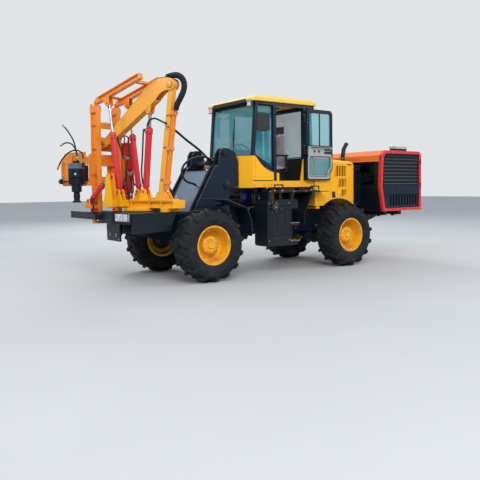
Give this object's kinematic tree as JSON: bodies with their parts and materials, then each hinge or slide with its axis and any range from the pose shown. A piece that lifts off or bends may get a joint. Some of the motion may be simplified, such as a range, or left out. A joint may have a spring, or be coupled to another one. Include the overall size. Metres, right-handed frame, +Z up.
{
  "type": "wheeled guardrail pile driver rig",
  "caption": "Articulated yellow wheeled carrier with a cab and a rear compressor, and at the front a folded orange pile driving mast on a boom.",
  "frame": {"origin": "middle of the footprint, on the ground", "axes": "+X towards the mast end, +Y to the driver's left, +Z up"},
  "size_m": [6.2462, 2.3116, 3.0458],
  "materials": {
    "yellow_paint": "gloss",
    "amber_paint": "gloss",
    "orange_paint": "gloss",
    "red_paint": "gloss",
    "navy_paint": "satin",
    "black_paint": "satin",
    "rubber": "matte",
    "chrome": "polished",
    "glass": "gloss",
    "fabric": "matte",
    "roof_plastic": "satin",
    "lamp": "gloss"
  },
  "bodies": {
    "rear_carrier": {"rear_frame": "navy_paint", "engine_block": "black_paint", "rear_axle": "navy_paint", "hood": "yellow_paint", "radiator": "black_paint", "cab_body": "yellow_paint", "cab_frame": "navy_paint", "cab_roof": "roof_plastic", "cab_glass": "glass", "cab_visor": "black_paint", "cab_interior": "fabric", "work_lamps": "lamp", "step_box": "black_paint", "tank_right": "black_paint", "compressor_body": "orange_paint", "compressor_panel": "black_paint", "compressor_ends": "red_paint", "compressor_louvres": "black_paint", "compressor_frame": "black_paint"},
    "cab_door": {"door_frame": "black_paint", "door_glass": "glass"},
    "front_carrier": {"front_frame": "navy_paint", "fenders": "navy_paint", "front_axle": "navy_paint", "platform": "black_paint", "headlamps": "lamp"},
    "wheel_front_left": {"tyre_front_left": "rubber", "rim_front_left": "yellow_paint"},
    "wheel_front_right": {"tyre_front_right": "rubber", "rim_front_right": "yellow_paint"},
    "wheel_rear_left": {"tyre_rear_left": "rubber", "rim_rear_left": "yellow_paint"},
    "wheel_rear_right": {"tyre_rear_right": "rubber", "rim_rear_right": "yellow_paint"},
    "rig_base": {"base_beam": "yellow_paint", "column": "amber_paint", "column_pipes": "orange_paint"},
    "boom": {"boom": "amber_paint"},
    "lower_mast": {"mast_rails": "orange_paint"},
    "upper_mast": {"upper_mast": "orange_paint"},
    "tool_slide": {"tool_slide": "orange_paint"},
    "drill": {"drill_arm": "orange_paint", "drill_head": "black_paint", "drill_handle": "chrome", "hose_long": "rubber", "hose_middle": "rubber", "hose_low": "rubber"},
    "hammer": {"hammer_arm": "orange_paint", "hammer": "red_paint"},
    "fold_barrel_left": {"fold_barrel_left": "red_paint"},
    "fold_barrel_right": {"fold_barrel_right": "red_paint"},
    "fold_rod_left": {"fold_rod_left": "chrome"},
    "fold_rod_right": {"fold_rod_right": "chrome"},
    "lift_barrel": {"lift_barrel": "red_paint"},
    "lift_rod": {"lift_rod": "chrome"},
    "pitch_barrel": {"pitch_barrel": "red_paint"},
    "pitch_rod": {"pitch_rod": "chrome"}
  },
  "joints": [
    {"name": "articulation", "type": "hinge", "parent": "rear_carrier", "child": "front_carrier", "pos_m": [0.16604, 0.15585, 0.8], "axis": [0, 0, 1], "range_deg": [-35, 35]},
    {"name": "spin_front_left", "type": "hinge", "parent": "front_carrier", "child": "wheel_front_left", "pos_m": [1.58804, 0.92385, 0.54], "axis": [0, 1, 0], "continuous": true},
    {"name": "spin_front_right", "type": "hinge", "parent": "front_carrier", "child": "wheel_front_right", "pos_m": [1.58804, -0.61215, 0.54], "axis": [0, 1, 0], "continuous": true},
    {"name": "spin_rear_left", "type": "hinge", "parent": "rear_carrier", "child": "wheel_rear_left", "pos_m": [-1.25596, 0.92385, 0.54], "axis": [0, 1, 0], "continuous": true},
    {"name": "spin_rear_right", "type": "hinge", "parent": "rear_carrier", "child": "wheel_rear_right", "pos_m": [-1.25596, -0.61215, 0.54], "axis": [0, 1, 0], "continuous": true},
    {"name": "cab_door_swing", "type": "hinge", "parent": "rear_carrier", "child": "cab_door", "pos_m": [-0.43196, 0.81285, 2], "axis": [0, 0, -1], "range_deg": [0, 178]},
    {"name": "rig_slew", "type": "hinge", "parent": "front_carrier", "child": "rig_base", "pos_m": [2.25404, 0.15585, 1.075], "axis": [0, 0, 1], "range_deg": [-12, 2]},
    {"name": "boom_lift", "type": "hinge", "parent": "rig_base", "child": "boom", "pos_m": [2.05627, 0.76452, 2.86], "axis": [-0.9511, -0.309, 0], "range_deg": [0, 15]},
    {"name": "lift_barrel_swing", "type": "hinge", "parent": "rig_base", "child": "lift_barrel", "pos_m": [2.23241, 0.22242, 1.33], "axis": [0.9511, 0.309, 0], "range_deg": [0, 3.7]},
    {"name": "lift_rod_slide", "type": "slide", "parent": "lift_barrel", "child": "lift_rod", "axis": [-0.031, 0.0954, 0.995], "range_m": [0, 0.12287]},
    {"name": "mast_pitch", "type": "hinge", "parent": "boom", "child": "lower_mast", "pos_m": [2.48889, -0.56696, 2.08], "axis": [-0.9511, -0.309, 0], "range_deg": [-3, 6]},
    {"name": "mast_unfold", "type": "hinge", "parent": "lower_mast", "child": "upper_mast", "pos_m": [2.48425, -0.55269, 2.71], "axis": [0.9511, 0.309, 0], "range_deg": [0, 73.5]},
    {"name": "fold_barrel_left_swing", "type": "hinge", "parent": "rig_base", "child": "fold_barrel_left", "pos_m": [2.5321, -0.0398, 1.33], "axis": [0.9511, 0.309, 0], "range_deg": [0, 3.73]},
    {"name": "fold_rod_left_slide", "type": "slide", "parent": "fold_barrel_left", "child": "fold_rod_left", "axis": [0.0445, -0.1371, 0.9896], "range_m": [0, 0.32442]},
    {"name": "fold_barrel_right_swing", "type": "hinge", "parent": "rig_base", "child": "fold_barrel_right", "pos_m": [2.14407, -0.16588, 1.33], "axis": [0.9511, 0.309, 0], "range_deg": [0, 3.73]},
    {"name": "fold_rod_right_slide", "type": "slide", "parent": "fold_barrel_right", "child": "fold_rod_right", "axis": [0.0445, -0.1371, 0.9896], "range_m": [0, 0.32442]},
    {"name": "pitch_barrel_swing", "type": "hinge", "parent": "lower_mast", "child": "pitch_barrel", "pos_m": [2.81034, -0.50457, 1.19], "axis": [-0.9511, -0.309, 0], "range_deg": [-0.066, 0.033]},
    {"name": "pitch_rod_slide", "type": "slide", "parent": "pitch_barrel", "child": "pitch_rod", "axis": [-0.2372, 0.73, 0.641], "range_m": [-0.03439, 0.06878]},
    {"name": "tool_lift", "type": "slide", "parent": "lower_mast", "child": "tool_slide", "axis": [0, 0, 1], "range_m": [0, 0.45]},
    {"name": "drill_swing", "type": "hinge", "parent": "tool_slide", "child": "drill", "pos_m": [2.79575, -0.61498, 1.65], "axis": [0, 0, -1], "range_deg": [0, 45]},
    {"name": "hammer_swing", "type": "hinge", "parent": "tool_slide", "child": "hammer", "pos_m": [2.26886, -0.78618, 1.65], "axis": [0, 0, 1], "range_deg": [0, 110]}
  ],
  "couplings": [
    {"joint": "lift_barrel_swing", "follows": "boom_lift", "ratio": 0.24677},
    {"joint": "lift_rod_slide", "follows": "boom_lift", "m_per_rad": 0.46932},
    {"joint": "fold_barrel_left_swing", "follows": "mast_unfold", "ratio": 0.050725},
    {"joint": "fold_rod_left_slide", "follows": "mast_unfold", "m_per_rad": 0.2529},
    {"joint": "fold_barrel_right_swing", "follows": "mast_unfold", "ratio": 0.050725},
    {"joint": "fold_rod_right_slide", "follows": "mast_unfold", "m_per_rad": 0.2529},
    {"joint": "pitch_barrel_swing", "follows": "mast_pitch", "ratio": -0.010937},
    {"joint": "pitch_rod_slide", "follows": "mast_pitch", "m_per_rad": 0.6568}
  ]
}
